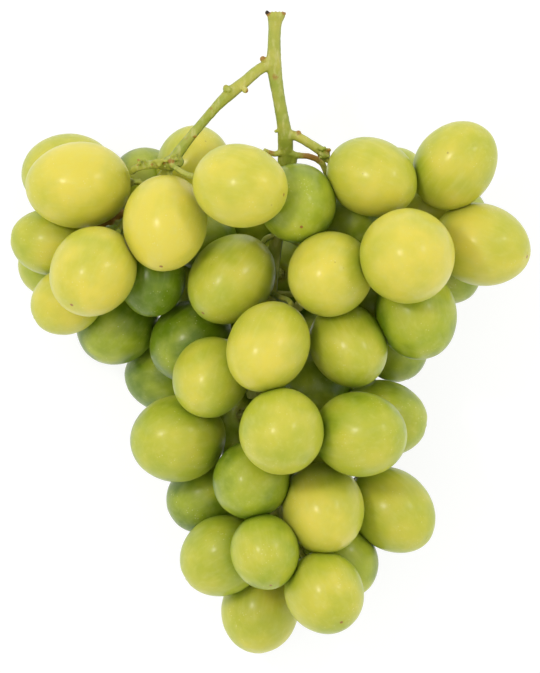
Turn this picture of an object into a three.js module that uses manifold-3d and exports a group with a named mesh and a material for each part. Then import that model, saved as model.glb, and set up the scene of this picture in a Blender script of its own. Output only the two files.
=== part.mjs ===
import * as THREE from "three";
import { mergeVertices } from "three/addons/utils/BufferGeometryUtils.js";
import Module from "manifold-3d";

// A bunch of pale green table grapes lying on its back, in millimetres.
// +X is the right of the picture, +Y runs up the picture to the cut end of the stalk,
// +Z is up from the table. The origin is in the middle, at table level.

const wasm = await Module();
wasm.setup();
const { Manifold, Mesh } = wasm;

// Driving dimensions
const PRESS = 1.6; // how far two berries of one cluster are pushed into each other
const APART = 0.8; // clear gap between berries of two clusters
const TWIG_GAP = 0.7; // clear gap the settling berries keep from the stem
const CLEAR = 0.35; // smallest clear gap between a berry and a stalk
const STALK_GAP = 0.75; // a stalk ends this far short of its berry
const FLAT = 0.4; // depth of the flat spot a berry rests on
const SKIN = 1.02; // corners of the faceted berry stand this much outside the true oval
const MERIDIANS = 12;
const HIDDEN_MERIDIANS = 11;
const BANDS = 7;
const ROUNDS = 500;
const TO_MIDDLE = [-0.16, 0.42]; // brings the finished bunch over the origin

// Berries, one row each: in sight, x, y, first height, breadth, length,
// compass turn of the free end in the picture, and its rise towards the viewer.
// The places in sight are read from the picture; the hidden ones fill the back.
const IN_SIGHT = 1;
const BACK = 0;
const FOOT = -1;

const LEFT = [
  [IN_SIGHT, -57.4, 44.3, 44, 26.0, 32.0, 183, 12],
  [IN_SIGHT, -60.4, 47.8, 22, 24.8, 29.0, 175, -10],
  [IN_SIGHT, -37.0, 44.9, 20, 22.5, 24.0, 120, -30],
  [IN_SIGHT, -22.8, 50.7, 20, 22.3, 24.0, 75, -20],
  [IN_SIGHT, -31.7, 32.6, 52, 25.4, 30.0, -95, 28],
  [IN_SIGHT, -52.6, 18.4, 53, 25.5, 29.0, -122, 35],
  [IN_SIGHT, -66.4, 27.5, 30, 20.0, 23.5, 172, 0],
  [IN_SIGHT, -64.6, 21.2, 12, 21.0, 23.0, 200, -25],
  [IN_SIGHT, -58.2, 9.4, 32, 20.0, 22.5, -150, 0],
  [IN_SIGHT, -44.6, 1.6, 22, 23.4, 25.0, -125, 10],
  [IN_SIGHT, -33.9, 16.2, 36, 20.0, 23.0, -92, 12],
  [FOOT, -43.0, 21.0, 12, 23, 26, 180, -60],
];

const UPPER = [
  [IN_SIGHT, -12.2, 15.7, 46, 24.7, 30.0, -130, 27],
  [IN_SIGHT, -9.4, 34.0, 18, 22.0, 24.0, 100, 20],
  [IN_SIGHT, -20.5, 28.0, 28, 19.0, 21.0, 170, 10],
  [FOOT, 9.5, 38.0, 12, 20, 22, 90, -50],
  [BACK, -18.0, 17.0, 12, 24, 26, 180, -80],
  [FOOT, 7.0, 17.0, 12, 23, 26, 30, -75],
];

const RIGHT = [
  [IN_SIGHT, 24.0, 31.5, 28, 21.0, 23.5, 20, 0],
  [IN_SIGHT, 8.3, 38.9, 46, 23.4, 25.5, -80, 55],
  [IN_SIGHT, -8.6, 43.8, 56, 24.9, 29.5, -12, 25],
  [IN_SIGHT, 23.6, -5.2, 50, 22.8, 28.0, -60, 38],
  [IN_SIGHT, 17.9, 17.2, 58, 25.3, 28.5, -125, 62],
  [IN_SIGHT, 41.4, 22.7, 66, 28.4, 31.0, -60, 72],
  [IN_SIGHT, 62.0, 28.2, 46, 24.6, 30.5, -15, 20],
  [IN_SIGHT, 56.4, 48.4, 42, 23.8, 29.5, 50, 25],
  [IN_SIGHT, 30.0, 47.1, 50, 23.4, 29.0, -22, 28],
  [IN_SIGHT, 38.0, 45.6, 22, 20.5, 22.0, 60, -20],
  [IN_SIGHT, 43.4, 5.5, 44, 24.4, 28.0, -75, 18],
  [IN_SIGHT, 37.2, -3.6, 22, 20.6, 23.0, -70, 0],
  [IN_SIGHT, 53.3, 18.8, 24, 20.0, 23.0, -30, -10],
  [IN_SIGHT, 46.7, 37.5, 34, 19.5, 22.0, 30, 10],
  [IN_SIGHT, 30.8, 8.3, 36, 20.5, 23.0, -40, 20],
  [BACK, 31.0, 21.0, 12, 23, 26, 20, -70],
  [FOOT, 50.5, 33.0, 13, 22, 25, 20, -40],
];

const MIDDLE = [
  [IN_SIGHT, -24.6, -1.4, 30, 22.8, 25.0, -140, 15],
  [IN_SIGHT, -32.6, -12.0, 11, 22.0, 26.0, 190, -10],
  [IN_SIGHT, -0.4, -4.9, 60, 24.2, 30.0, -118, 35],
  [IN_SIGHT, -17.7, -14.2, 50, 22.8, 26.5, -112, 45],
  [IN_SIGHT, -26.8, -32.6, 36, 26.2, 30.0, -170, 35],
  [IN_SIGHT, 2.4, -29.1, 56, 25.4, 28.5, -90, 65],
  [IN_SIGHT, 27.9, -29.8, 52, 25.5, 30.0, -8, 38],
  [IN_SIGHT, 33.7, -25.6, 28, 22.4, 26.0, -10, 0],
  [IN_SIGHT, 14.6, -15.7, 33, 21.0, 23.0, -60, 20],
  [BACK, -7.0, -6.0, 12, 23, 26, 170, -70],
  [BACK, 16.0, -4.0, 12, 23, 26, -60, -80],
  [BACK, -20.0, -32.0, 12, 22, 25, 190, -60],
  [BACK, 4.0, -28.0, 12, 23, 26, -90, -70],
  [FOOT, 27.0, -25.0, 12, 22, 25, -90, -70],
  [BACK, 23.0, -41.0, 30, 20, 22, -20, -50],
];

const LOWER = [
  [IN_SIGHT, -5.6, -42.6, 42, 23.1, 25.5, -120, 60],
  [IN_SIGHT, -16.8, -48.8, 19, 22.4, 25.0, -150, 10],
  [IN_SIGHT, -14.4, -66.2, 24, 24.0, 26.0, -150, 0],
  [IN_SIGHT, -8.2, -60.1, 12, 20.0, 22.0, -120, -30],
  [IN_SIGHT, -2.5, -66.2, 43, 20.6, 23.5, -80, 30],
  [IN_SIGHT, -2.5, -83.8, 28, 23.3, 26.0, -98, 15],
  [IN_SIGHT, 17.8, -78.8, 42, 23.5, 26.5, -60, 40],
  [IN_SIGHT, 15.1, -52.3, 52, 24.8, 29.5, -78, 42],
  [IN_SIGHT, 37.2, -53.3, 36, 23.8, 29.5, -42, 22],
  [IN_SIGHT, 22.0, -68.8, 22, 21.6, 24.0, -50, -10],
  [BACK, 16.0, -49.0, 12, 22, 25, -30, -65],
  [FOOT, -5.0, -46.0, 12, 22, 24, 190, -65],
  [FOOT, 8.0, -72.0, 12, 21, 24, -90, -50],
];

const CLUSTERS = [
  ["left_berries", LEFT, 0xc6c455],
  ["upper_berries", UPPER, 0x96a83c],
  ["right_berries", RIGHT, 0xbfc352],
  ["middle_berries", MIDDLE, 0xa9b747],
  ["lower_berries", LOWER, 0xb3bc4b],
];

// The stem, each point as x, y, z and radius
const MAIN_STEM = [
  [1.9, 95.8, 50, 2.8],
  [1.8, 94.2, 50, 2.35],
  [1.6, 91.5, 49.9, 2.0],
  [1.4, 86.5, 49.4, 2.05],
  [1.3, 81.0, 48.6, 2.4],
  [1.7, 77.0, 48.0, 2.25],
  [2.6, 71.5, 47.2, 2.0],
  [3.5, 66.5, 46.4, 2.05],
  [4.4, 61.5, 45.4, 2.2],
  [4.8, 57.5, 43.6, 2.45],
  [4.7, 53.0, 40.4, 2.3],
  [4.3, 46.0, 36.5, 2.3],
  [3.0, 34.0, 33, 2.2],
  [1.0, 20.0, 31, 2.1],
  [0.0, 5.0, 30, 2.0],
  [0.0, -12.0, 29, 1.9],
  [1.0, -30.0, 28, 1.8],
  [3.0, -46.0, 27, 1.6],
  [4.5, -58.0, 26, 1.4],
];

const LEFT_BRANCH = [
  [1.2, 81.0, 48.6, 1.9],
  [-3.2, 78.8, 49.2, 1.75],
  [-7.6, 75.0, 50.1, 1.85],
  [-11.6, 71.9, 50.5, 2.0],
  [-15.8, 67.8, 50.4, 1.6],
  [-20.0, 63.0, 50, 1.5],
  [-24.2, 58.0, 49.6, 1.55],
  [-28.6, 52.2, 49, 1.9],
];

const RIGHT_BRANCH = [
  [4.6, 59.6, 44.6, 1.8],
  [8.2, 58.9, 45.4, 1.5],
  [12.2, 56.6, 45.4, 1.45],
  [16.0, 54.2, 44.8, 1.6],
];

// Side arms inside the two shoulders, out of sight behind the berries
const LEFT_ARM = [
  [-29.4, 50.8, 48.5, 1.6],
  [-34.0, 45.0, 40, 1.4],
  [-41.0, 37.0, 34, 1.4],
  [-47.0, 28.0, 33, 1.3],
  [-49.0, 18.0, 35, 1.2],
  [-48.0, 10.0, 37, 1.0],
];

const RIGHT_ARM = [
  [2.6, 31.0, 32.6, 1.7],
  [13.0, 25.0, 34, 1.5],
  [23.0, 20.0, 39, 1.4],
  [33.0, 20.0, 43, 1.3],
  [42.0, 21.0, 42, 1.2],
  [47.0, 24.0, 42, 1.0],
];

// Two thin twigs beside the main stem
const LOW_TWIG = [
  [4.7, 54.8, 41.8, 1.2],
  [7.4, 53.4, 42, 1.05],
  [12.2, 52.9, 41.8, 1.0],
  [15.6, 51.2, 41, 1.1],
  [17.0, 48.0, 38.5, 1.0],
  [17.4, 45.5, 35.5, 0.9],
];

const SHORT_TWIG = [
  [4.5, 54.4, 41.8, 1.1],
  [1.6, 53.6, 43, 1.0],
  [-1.8, 54.7, 44.2, 0.9],
];

// The twig from the left knuckle to the berry at the far left
const LEFT_TWIG = [
  [-30.5, 50.7, 49.2, 1.5],
  [-35.5, 50.4, 50.2, 1.45],
  [-39.6, 49.6, 48.2, 1.3],
  [-41.4, 48.2, 44.0, 1.15],
];

// Stalks whose berries have dropped: the end's x, y, z and its thickened radius
const BARE_STALKS = [
  [-47.3, 34.4, 27.0, 2.4],
  [-5.4, -18.4, 31.0, 2.0],
  [8.5, 7.8, 31.0, 2.0],
];

// Swellings on the stem: x, y, z, radius, height share
const KNOBS = [
  [1.1, 80.8, 48.7, 2.5, 0.95],
  [-29.6, 50.8, 49, 2.5, 1.0],
  [-27.4, 51.2, 49.6, 1.9, 0.9],
  [-32.2, 50.4, 48.8, 1.8, 0.9],
  [4.8, 58.8, 44.2, 2.5, 1.0],
  [16.4, 53.8, 44.9, 1.9, 1.0],
  [-11.8, 72.0, 50.6, 2.2, 1.0],
];

// Short stubs where shoots have withered or been cut
const STUBS = [
  [[-11.6, 71.6, 50.7, 1.6], [-12.6, 72.7, 51.5, 1.35], [-13.1, 73.4, 52.0, 1.2]],
  [[-8.6, 74.0, 50.6, 1.3], [-7.8, 73.2, 51.6, 1.1], [-7.3, 72.8, 52.3, 1.1]],
  [[-21.0, 62.0, 50, 1.2], [-22.0, 60.2, 50.8, 0.8], [-22.2, 59.0, 51.2, 0.6]],
  [[1.0, 81.0, 48.8, 1.6], [-1.0, 81.6, 49.8, 1.2], [-1.9, 81.9, 50.3, 0.9]],
];

// The rest of the file builds the bunch from these values.

function direction(turn, rise) {
  const flat = Math.cos(THREE.MathUtils.degToRad(rise));
  const angle = THREE.MathUtils.degToRad(turn);
  const up = Math.sin(THREE.MathUtils.degToRad(rise));
  return new THREE.Vector3(Math.cos(angle) * flat, Math.sin(angle) * flat, up);
}

function berryFrom(cluster, row) {
  const [place, x, y, z, wide, long, turn, rise] = row;
  const u = direction(turn, rise);
  const b = wide / 2;
  const a = long / 2;
  return {
    cluster,
    place,
    home: new THREE.Vector3(x, y, z),
    c: new THREE.Vector3(x, y, z),
    u,
    a,
    b,
    half: u.clone().multiplyScalar(a - b),
    give: place === IN_SIGHT ? [0.05, 0.05, 1] : [0.3, 0.3, place === FOOT ? 0.001 : 1],
    low: Math.sqrt((a * u.z) ** 2 + b * b * (1 - u.z * u.z)),
  };
}

function limbsOf(points) {
  const limbs = [];
  for (let k = 1; k < points.length; k += 1) {
    const p = new THREE.Vector3(...points[k - 1]);
    const q = new THREE.Vector3(...points[k]);
    limbs.push({
      c: p.clone().add(q).multiplyScalar(0.5),
      half: q.clone().sub(p).multiplyScalar(0.5),
      r: Math.max(points[k - 1][3], points[k][3]),
    });
  }
  return limbs;
}

// Shortest way from the core line of q to the core line of p
function between(pc, ph, qc, qh) {
  const pp = ph.dot(ph) + 1e-9;
  const qq = qh.dot(qh) + 1e-9;
  const gap = qc.clone().sub(pc);
  let s = 0;
  let t = 0;
  for (let k = 0; k < 3; k += 1) {
    s = THREE.MathUtils.clamp((gap.dot(ph) + t * qh.dot(ph)) / pp, -1, 1);
    t = THREE.MathUtils.clamp((s * ph.dot(qh) - gap.dot(qh)) / qq, -1, 1);
  }
  return gap.negate().addScaledVector(ph, s).addScaledVector(qh, -t);
}

function shift(berry, way, amount, sign) {
  berry.c.x += sign * amount * berry.give[0] * way.x;
  berry.c.y += sign * amount * berry.give[1] * way.y;
  berry.c.z += sign * amount * berry.give[2] * way.z;
}

function looseness(one, two, way) {
  const x = (one.give[0] + two.give[0]) * way.x * way.x;
  const y = (one.give[1] + two.give[1]) * way.y * way.y;
  const z = (one.give[2] + two.give[2]) * way.z * way.z;
  return x + y + z;
}

// The berries sink towards the table and press on each other until they lie still
function settle(berries, limbs) {
  const still = { give: [0.05, 0.05, 0.05] };
  for (let round = 0; round < ROUNDS; round += 1) {
    const part = round / ROUNDS;
    const sink = 0.4 * Math.max(0, 1 - part / 0.6);
    const reach = part > 0.3 && part < 0.95 ? 2.5 : 0;
    const homing = part < 0.9 ? 0.03 : 0;
    for (let i = 0; i < berries.length; i += 1) {
      const one = berries[i];
      one.c.z -= sink;
      one.c.x += homing * (one.home.x - one.c.x);
      one.c.y += homing * (one.home.y - one.c.y);
      for (let j = 0; j < i; j += 1) {
        const two = berries[j];
        if (one.c.distanceTo(two.c) > 34) continue;
        const way = between(one.c, one.half, two.c, two.half);
        const far = way.length();
        const same = one.cluster === two.cluster;
        const want = one.b + two.b + (same ? -PRESS : APART);
        const pull = same && far < want + reach ? 0.3 : 0;
        const rate = far < want ? 0.7 : pull;
        if (rate === 0) continue;
        way.divideScalar(far);
        const amount = (rate * (want - far)) / looseness(one, two, way);
        shift(one, way, amount, 1);
        shift(two, way, amount, -1);
      }
      for (const limb of limbs) {
        const way = between(one.c, one.half, limb.c, limb.half);
        const far = way.length();
        const want = one.b + limb.r + TWIG_GAP;
        if (far >= want) continue;
        way.divideScalar(far);
        shift(one, way, (0.5 * (want - far)) / looseness(one, still, way), 1);
      }
      one.c.z = Math.max(one.c.z, one.low - FLAT);
      if (one.place === FOOT) one.c.z = one.low - FLAT;
    }
  }
}

function solidFrom(geometry) {
  const bare = new THREE.BufferGeometry();
  bare.setAttribute("position", geometry.attributes.position.clone());
  if (geometry.index) bare.setIndex(geometry.index.clone());
  const joined = mergeVertices(bare, 1e-5);
  const mesh = new Mesh({
    numProp: 3,
    vertProperties: new Float32Array(joined.attributes.position.array),
    triVerts: new Uint32Array(joined.index.array),
  });
  return new Manifold(mesh);
}

function meshFrom(name, solid, colour) {
  const mesh = solid.getMesh();
  const geometry = new THREE.BufferGeometry();
  geometry.setAttribute("position", new THREE.BufferAttribute(new Float32Array(mesh.vertProperties), 3));
  geometry.setIndex(new THREE.BufferAttribute(new Uint32Array(mesh.triVerts), 1));
  geometry.translate(TO_MIDDLE[0], TO_MIDDLE[1], 0);
  geometry.computeVertexNormals();
  const material = new THREE.MeshStandardMaterial({ color: colour, roughness: 0.35 });
  const body = new THREE.Mesh(geometry, material);
  body.name = name;
  return body;
}

function berrySolid(berry) {
  const around = berry.place === IN_SIGHT ? MERIDIANS : HIDDEN_MERIDIANS;
  const oval = new THREE.SphereGeometry(SKIN, around, BANDS);
  oval.scale(berry.b, berry.a, berry.b);
  const turned = new THREE.Quaternion().setFromUnitVectors(new THREE.Vector3(0, 1, 0), berry.u);
  oval.applyQuaternion(turned);
  oval.translate(berry.c.x, berry.c.y, berry.c.z);
  return solidFrom(oval);
}

// A twig is a closed cylinder bent along a smooth curve, its radius following the points
function twigSolid(points, sides, pieces) {
  const curve = new THREE.CatmullRomCurve3(points.map((p) => new THREE.Vector3(p[0], p[1], p[2])));
  const geometry = new THREE.CylinderGeometry(1, 1, 1, sides, pieces);
  const frames = curve.computeFrenetFrames(pieces, false);
  const position = geometry.attributes.position;
  for (let k = 0; k < position.count; k += 1) {
    const step = Math.round((position.getY(k) + 0.5) * pieces);
    const t = step / pieces;
    const place = t * (points.length - 1);
    const from = Math.min(Math.floor(place), points.length - 2);
    const r = THREE.MathUtils.lerp(points[from][3], points[from + 1][3], place - from);
    const spot = curve.getPoint(t);
    spot.addScaledVector(frames.normals[step], r * position.getX(k));
    spot.addScaledVector(frames.binormals[step], -r * position.getZ(k));
    position.setXYZ(k, spot.x, spot.y, spot.z);
  }
  return solidFrom(geometry);
}

function knobSolid(x, y, z, r, tall) {
  const knob = new THREE.SphereGeometry(r, 8, 5);
  knob.scale(1, 1, tall);
  knob.translate(x, y, z);
  return solidFrom(knob);
}

// How deep a ball of radius r at p is inside the nearest berry, and the way out
function pushOut(p, r, berries, own) {
  let worst = 0;
  let out = null;
  for (const berry of berries) {
    if (p.distanceTo(berry.c) > berry.a + r + 3) continue;
    const away = between(p, new THREE.Vector3(), berry.c, berry.half);
    const slack = berry === own ? 1.1 : 0;
    const deep = berry.b * SKIN + r + CLEAR - slack - away.length();
    if (deep > worst) {
      worst = deep;
      out = away.normalize();
    }
  }
  return [worst, out];
}

// The straight steps a twig is built from
function stepsOf(points, pieces) {
  const curve = new THREE.CatmullRomCurve3(points.map((p) => new THREE.Vector3(p[0], p[1], p[2])));
  const steps = [];
  for (let k = 0; k <= pieces; k += 1) steps.push(curve.getPoint(k / pieces));
  return steps;
}

// How far a finished stalk still cuts into the clear gap round the berries
function tightness(steps, berries, own) {
  let tight = 0;
  for (let k = 1; k < steps.length; k += 1) {
    for (let part = 1; part <= 4; part += 1) {
      const spot = steps[k - 1].clone().lerp(steps[k], part / 4);
      const last = k === steps.length - 1;
      tight = Math.max(tight, pushOut(spot, 1.1, berries, last ? own : null)[0]);
    }
  }
  return tight;
}

// The stalk of one berry: from the nearest limb to the berry's stem end, between the others
function stalkFor(berry, starts, berries) {
  const end = berry.c.clone().addScaledVector(berry.u, -(berry.a + STALK_GAP));
  const neck = berry.c.clone().addScaledVector(berry.u, -(berry.a + 3.5));
  let best = null;
  for (const start of starts) {
    const long = start.distanceTo(neck);
    if (long < 4 || long > 40) continue;
    const count = Math.max(2, Math.round(long / 7));
    const chain = [];
    for (let k = 0; k <= count; k += 1) chain.push(start.clone().lerp(neck, k / count));
    for (let round = 0; round < 60; round += 1) {
      for (let k = 1; k < chain.length; k += 1) {
        const last = k === chain.length - 1;
        if (!last) chain[k].lerp(chain[k - 1].clone().add(chain[k + 1]).multiplyScalar(0.5), 0.3);
        const [deep, out] = pushOut(chain[k], 1.4, berries, null);
        if (deep > 0) chain[k].addScaledVector(out, 0.8 * deep);
      }
    }
    chain.push(end);
    const rows = chain.map((p) => [p.x, p.y, p.z, 1.1]);
    if (berry.tip) rows[rows.length - 1][3] = berry.tip;
    const steps = stepsOf(rows, count + 2);
    let run = 0;
    for (let k = 1; k < steps.length; k += 1) run += steps[k].distanceTo(steps[k - 1]);
    if (run > 44 || tightness(steps, berries, berry) > 0.05) continue;
    if (best === null || run < best.run) best = { run, rows, pieces: count + 2 };
  }
  return best;
}

const berries = [];
for (const [name, rows] of CLUSTERS) {
  for (const row of rows) berries.push(berryFrom(name, row));
}
const rods = [MAIN_STEM, LEFT_BRANCH, RIGHT_BRANCH, LEFT_ARM, RIGHT_ARM, LOW_TWIG, SHORT_TWIG];
const limbs = rods.flatMap(limbsOf);
for (const [x, y, z, r] of KNOBS) limbs.push({ c: new THREE.Vector3(x, y, z), half: new THREE.Vector3(), r });
settle(berries, limbs);

function pointsAlong(points) {
  const curve = new THREE.CatmullRomCurve3(points.map((p) => new THREE.Vector3(p[0], p[1], p[2])));
  return curve.getSpacedPoints(points.length * 3);
}

function stalkSolids(starts) {
  const solids = [];
  for (const berry of berries) {
    const stalk = stalkFor(berry, starts, berries);
    if (stalk !== null) solids.push(twigSolid(stalk.rows, 4, stalk.pieces));
  }
  for (const [x, y, z, tip] of BARE_STALKS) {
    const bare = { c: new THREE.Vector3(x, y, z), u: new THREE.Vector3(0, 0, 1), a: -STALK_GAP, tip };
    const stalk = stalkFor(bare, starts, berries);
    if (stalk !== null) solids.push(twigSolid(stalk.rows, 5, stalk.pieces));
  }
  return solids;
}

function stemSolid() {
  const solids = [];
  solids.push(twigSolid(MAIN_STEM, 8, 34));
  solids.push(twigSolid(LEFT_BRANCH, 8, 14));
  solids.push(twigSolid(RIGHT_BRANCH, 8, 6));
  solids.push(twigSolid(LEFT_ARM, 5, 8));
  solids.push(twigSolid(RIGHT_ARM, 5, 8));
  solids.push(twigSolid(LOW_TWIG, 6, 8));
  solids.push(twigSolid(SHORT_TWIG, 6, 4));
  solids.push(twigSolid(LEFT_TWIG, 6, 5));
  for (const [x, y, z, r, tall] of KNOBS) solids.push(knobSolid(x, y, z, r, tall));
  for (const stub of STUBS) solids.push(twigSolid(stub, 5, 3));
  const starts = [...pointsAlong(MAIN_STEM.slice(11)), ...pointsAlong(RIGHT_BRANCH.slice(2))];
  for (const arm of [LOW_TWIG, LEFT_TWIG, LEFT_ARM, RIGHT_ARM]) starts.push(...pointsAlong(arm));
  return Manifold.union([...solids, ...stalkSolids(starts)]);
}

const group = new THREE.Group();
group.name = "bunch_of_grapes";
for (const [name, , colour] of CLUSTERS) {
  const solids = berries.filter((berry) => berry.cluster === name).map(berrySolid);
  const cluster = Manifold.union(solids).trimByPlane([0, 0, 1], 0);
  group.add(meshFrom(name, cluster, colour));
}
group.add(meshFrom("stem", stemSolid(), 0x7f9a4e));

export default group;
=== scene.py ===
# %% [markdown]
# # A bunch of grapes on a white table
# The bunch lies on its back and the camera looks straight down on it. This first cell
# loads the solid parts of the bunch, which give every piece its place.

# %% Load the solid parts
import math
import random

import bpy
import numpy as np
from mathutils import Matrix, Vector


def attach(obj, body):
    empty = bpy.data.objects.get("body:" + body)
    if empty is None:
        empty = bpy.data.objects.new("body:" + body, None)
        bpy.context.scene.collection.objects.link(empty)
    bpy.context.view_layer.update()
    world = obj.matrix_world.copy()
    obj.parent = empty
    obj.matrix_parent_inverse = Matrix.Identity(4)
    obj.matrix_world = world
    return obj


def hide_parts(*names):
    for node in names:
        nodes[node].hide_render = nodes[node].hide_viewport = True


MM = 0.001
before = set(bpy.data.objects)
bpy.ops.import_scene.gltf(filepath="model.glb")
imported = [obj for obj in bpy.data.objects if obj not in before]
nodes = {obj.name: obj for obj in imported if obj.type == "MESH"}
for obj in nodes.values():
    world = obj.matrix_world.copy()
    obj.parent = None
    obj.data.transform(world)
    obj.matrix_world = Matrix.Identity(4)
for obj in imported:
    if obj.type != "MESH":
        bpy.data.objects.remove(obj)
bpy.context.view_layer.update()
print("solid parts:", sorted(nodes))

# %% [markdown]
# ## The camera
# The photograph is almost without perspective, so the camera stands far away with a very
# long lens. It could stand closer with a short lens, but then the berries on top would
# look too large beside those at the bottom. The picture's height covers a real length,
# and the lens follows from that length and the distance.

# %% Place the camera
PICTURE_TALL = 201.9 * MM      # real length that the picture's height covers
CAMERA_AWAY = 4.0              # from the middle height of the bunch
MIDDLE_HEIGHT = 45 * MM
AIM = (0.0, -0.72 * MM)        # the point that the middle of the picture shows
FILM = 36                      # height of the film in mm

camera_data = bpy.data.cameras.new("camera")
camera = bpy.data.objects.new("camera", camera_data)
bpy.context.scene.collection.objects.link(camera)
camera.location = (AIM[0], AIM[1], MIDDLE_HEIGHT + CAMERA_AWAY)
camera.rotation_euler = (0, 0, 0)
camera_data.sensor_fit = "VERTICAL"
camera_data.sensor_height = FILM
camera_data.lens = FILM * CAMERA_AWAY / PICTURE_TALL
camera_data.clip_start = 0.1
camera_data.clip_end = 30
bpy.context.scene.camera = camera
print("lens in mm:", round(camera_data.lens))

# %% [markdown]
# ## Where each berry lies
# One row for each berry: whether it is in sight, its place, its first height, breadth and
# length, the compass turn of its free end in the picture, and how far that end rises
# towards the viewer. They were read from the photograph at 0.3 mm for each of its
# dots. Placing them all in depth by hand would be slow, so a rule does that later.

# %% Berry table, in millimetres and degrees
IN_SIGHT, BACK, FOOT = 1, 0, -1

LEFT = [
    (IN_SIGHT, -57.4, 44.3, 44, 26.0, 32.0, 183, 12),
    (IN_SIGHT, -60.4, 47.8, 22, 24.8, 29.0, 175, -10),
    (IN_SIGHT, -37.0, 44.9, 20, 22.5, 24.0, 120, -30),
    (IN_SIGHT, -22.8, 50.7, 20, 22.3, 24.0, 75, -20),
    (IN_SIGHT, -31.7, 32.6, 52, 25.4, 30.0, -95, 28),
    (IN_SIGHT, -52.6, 18.4, 53, 25.5, 29.0, -122, 35),
    (IN_SIGHT, -66.4, 27.5, 30, 20.0, 23.5, 172, 0),
    (IN_SIGHT, -64.6, 21.2, 12, 21.0, 23.0, 200, -25),
    (IN_SIGHT, -58.2, 9.4, 32, 20.0, 22.5, -150, 0),
    (IN_SIGHT, -44.6, 1.6, 22, 23.4, 25.0, -125, 10),
    (IN_SIGHT, -33.9, 16.2, 36, 20.0, 23.0, -92, 12),
    (FOOT, -43.0, 21.0, 12, 23, 26, 180, -60),
]

UPPER = [
    (IN_SIGHT, -12.2, 15.7, 46, 24.7, 30.0, -130, 27),
    (IN_SIGHT, -9.4, 34.0, 18, 22.0, 24.0, 100, 20),
    (IN_SIGHT, -20.5, 28.0, 28, 19.0, 21.0, 170, 10),
    (FOOT, 9.5, 38.0, 12, 20, 22, 90, -50),
    (BACK, -18.0, 17.0, 12, 24, 26, 180, -80),
    (FOOT, 7.0, 17.0, 12, 23, 26, 30, -75),
]

RIGHT = [
    (IN_SIGHT, 24.0, 31.5, 28, 21.0, 23.5, 20, 0),
    (IN_SIGHT, 8.3, 38.9, 46, 23.4, 25.5, -80, 55),
    (IN_SIGHT, -8.6, 43.8, 56, 24.9, 29.5, -12, 25),
    (IN_SIGHT, 23.6, -5.2, 50, 22.8, 28.0, -60, 38),
    (IN_SIGHT, 17.9, 17.2, 58, 25.3, 28.5, -125, 62),
    (IN_SIGHT, 41.4, 22.7, 66, 28.4, 31.0, -60, 72),
    (IN_SIGHT, 62.0, 28.2, 46, 24.6, 30.5, -15, 20),
    (IN_SIGHT, 56.4, 48.4, 42, 23.8, 29.5, 50, 25),
    (IN_SIGHT, 30.0, 47.1, 50, 23.4, 29.0, -22, 28),
    (IN_SIGHT, 38.0, 45.6, 22, 20.5, 22.0, 60, -20),
    (IN_SIGHT, 43.4, 5.5, 44, 24.4, 28.0, -75, 18),
    (IN_SIGHT, 37.2, -3.6, 22, 20.6, 23.0, -70, 0),
    (IN_SIGHT, 53.3, 18.8, 24, 20.0, 23.0, -30, -10),
    (IN_SIGHT, 46.7, 37.5, 34, 19.5, 22.0, 30, 10),
    (IN_SIGHT, 30.8, 8.3, 36, 20.5, 23.0, -40, 20),
    (BACK, 31.0, 21.0, 12, 23, 26, 20, -70),
    (FOOT, 50.5, 33.0, 13, 22, 25, 20, -40),
]

MIDDLE = [
    (IN_SIGHT, -24.6, -1.4, 30, 22.8, 25.0, -140, 15),
    (IN_SIGHT, -32.6, -12.0, 11, 22.0, 26.0, 190, -10),
    (IN_SIGHT, -0.4, -4.9, 60, 24.2, 30.0, -118, 35),
    (IN_SIGHT, -17.7, -14.2, 50, 22.8, 26.5, -112, 45),
    (IN_SIGHT, -26.8, -32.6, 36, 26.2, 30.0, -170, 35),
    (IN_SIGHT, 2.4, -29.1, 56, 25.4, 28.5, -90, 65),
    (IN_SIGHT, 27.9, -29.8, 52, 25.5, 30.0, -8, 38),
    (IN_SIGHT, 33.7, -25.6, 28, 22.4, 26.0, -10, 0),
    (IN_SIGHT, 14.6, -15.7, 33, 21.0, 23.0, -60, 20),
    (BACK, -7.0, -6.0, 12, 23, 26, 170, -70),
    (BACK, 16.0, -4.0, 12, 23, 26, -60, -80),
    (BACK, -20.0, -32.0, 12, 22, 25, 190, -60),
    (BACK, 4.0, -28.0, 12, 23, 26, -90, -70),
    (FOOT, 27.0, -25.0, 12, 22, 25, -90, -70),
    (BACK, 23.0, -41.0, 30, 20, 22, -20, -50),
]

LOWER = [
    (IN_SIGHT, -5.6, -42.6, 42, 23.1, 25.5, -120, 60),
    (IN_SIGHT, -16.8, -48.8, 19, 22.4, 25.0, -150, 10),
    (IN_SIGHT, -14.4, -66.2, 24, 24.0, 26.0, -150, 0),
    (IN_SIGHT, -8.2, -60.1, 12, 20.0, 22.0, -120, -30),
    (IN_SIGHT, -2.5, -66.2, 43, 20.6, 23.5, -80, 30),
    (IN_SIGHT, -2.5, -83.8, 28, 23.3, 26.0, -98, 15),
    (IN_SIGHT, 17.8, -78.8, 42, 23.5, 26.5, -60, 40),
    (IN_SIGHT, 15.1, -52.3, 52, 24.8, 29.5, -78, 42),
    (IN_SIGHT, 37.2, -53.3, 36, 23.8, 29.5, -42, 22),
    (IN_SIGHT, 22.0, -68.8, 22, 21.6, 24.0, -50, -10),
    (BACK, 16.0, -49.0, 12, 22, 25, -30, -65),
    (FOOT, -5.0, -46.0, 12, 22, 24, 190, -65),
    (FOOT, 8.0, -72.0, 12, 21, 24, -90, -50),
]

CLUSTERS = {
    "left_berries": LEFT,
    "upper_berries": UPPER,
    "right_berries": RIGHT,
    "middle_berries": MIDDLE,
    "lower_berries": LOWER,
}
print("berries:", sum(len(rows) for rows in CLUSTERS.values()))

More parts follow.
